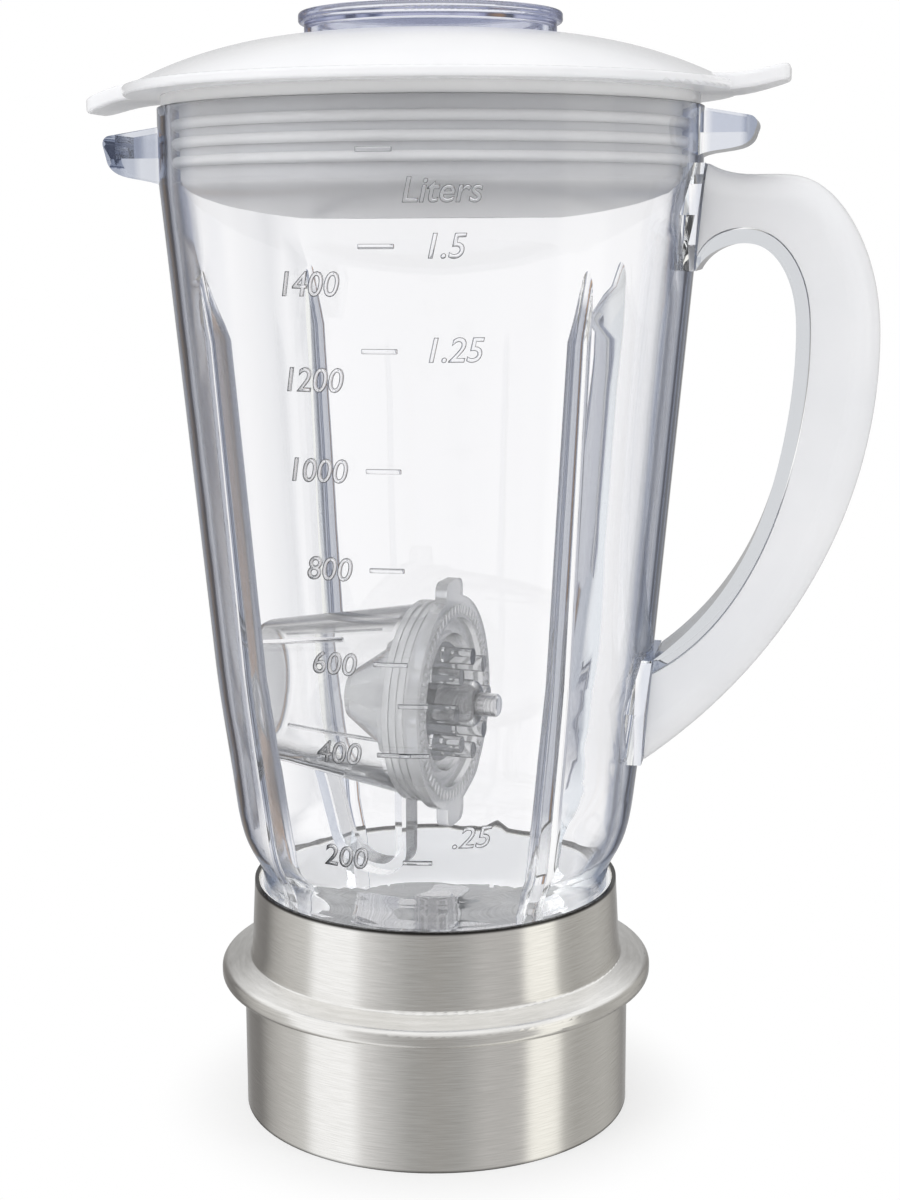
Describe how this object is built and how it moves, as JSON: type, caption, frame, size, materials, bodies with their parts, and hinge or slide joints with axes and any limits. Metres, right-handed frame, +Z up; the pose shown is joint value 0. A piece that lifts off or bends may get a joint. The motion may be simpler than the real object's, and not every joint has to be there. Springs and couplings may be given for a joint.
{
  "type": "blender jar",
  "caption": "Clear tapered blender jar with a brushed steel base collar, side handle, domed lid with a centre cap, crossed blades and a small grinding cup lying inside.",
  "frame": {"origin": "on the jar's axis, in the plane that the base collar stands on", "axes": "+Z up along the jar's axis, +X towards the handle"},
  "size_m": [0.1955, 0.149, 0.2764],
  "materials": {
    "clear_polycarbonate": "clear polished polycarbonate",
    "blue_clear_cap": "clear plastic with a blue tint",
    "white_plastic": "glossy white",
    "collar_steel": "turned and brushed round the axis",
    "steel": "bright steel",
    "black_nylon": "moulded nylon",
    "housing_aluminium": "turned",
    "bronze": "sintered",
    "rubber": "moulded rubber",
    "white_silicone": "moulded silicone",
    "grey_clear_plastic": "smoky clear plastic"
  },
  "bodies": {
    "jar": {"base_collar": "collar_steel", "base_insert": "black_nylon", "base_plate": "steel", "base_gasket": "white_silicone", "jar_body": "clear_polycarbonate", "handle_cover": "white_plastic", "handle_inner": "clear_polycarbonate", "bearing_housing": "housing_aluminium", "bearing_nut": "steel", "upper_bush": "bronze", "lower_bush": "bronze", "shaft_seal": "rubber", "cup_body": "clear_polycarbonate", "cup_base": "grey_clear_plastic"},
    "blade_drive": {"blade_shaft": "steel", "lower_blade": "steel", "upper_blade": "steel", "blade_washer": "steel", "blade_nut": "steel", "drive_coupler": "black_nylon", "coupler_nut": "steel"},
    "lid": {"lid": "white_plastic", "lid_plug": "white_plastic"},
    "cap": {"centre_cap": "blue_clear_cap"},
    "cup_drive": {"cup_coupler": "grey_clear_plastic", "cup_shaft": "steel"}
  },
  "joints": [
    {"name": "blade_spin", "type": "hinge", "parent": "jar", "child": "blade_drive", "pos_m": [0, 0, 0.04], "axis": [0, 0, 1], "continuous": true},
    {"name": "lid_lift", "type": "slide", "parent": "jar", "child": "lid", "axis": [0, 0, 1], "range_m": [0, 0.06]},
    {"name": "cap_lift", "type": "slide", "parent": "lid", "child": "cap", "axis": [0, 0, 1], "range_m": [0, 0.03]},
    {"name": "cup_spin", "type": "hinge", "parent": "jar", "child": "cup_drive", "pos_m": [-0.00846, -0.00599, 0.108], "axis": [0.9877, -0.1564, 0], "continuous": true}
  ]
}
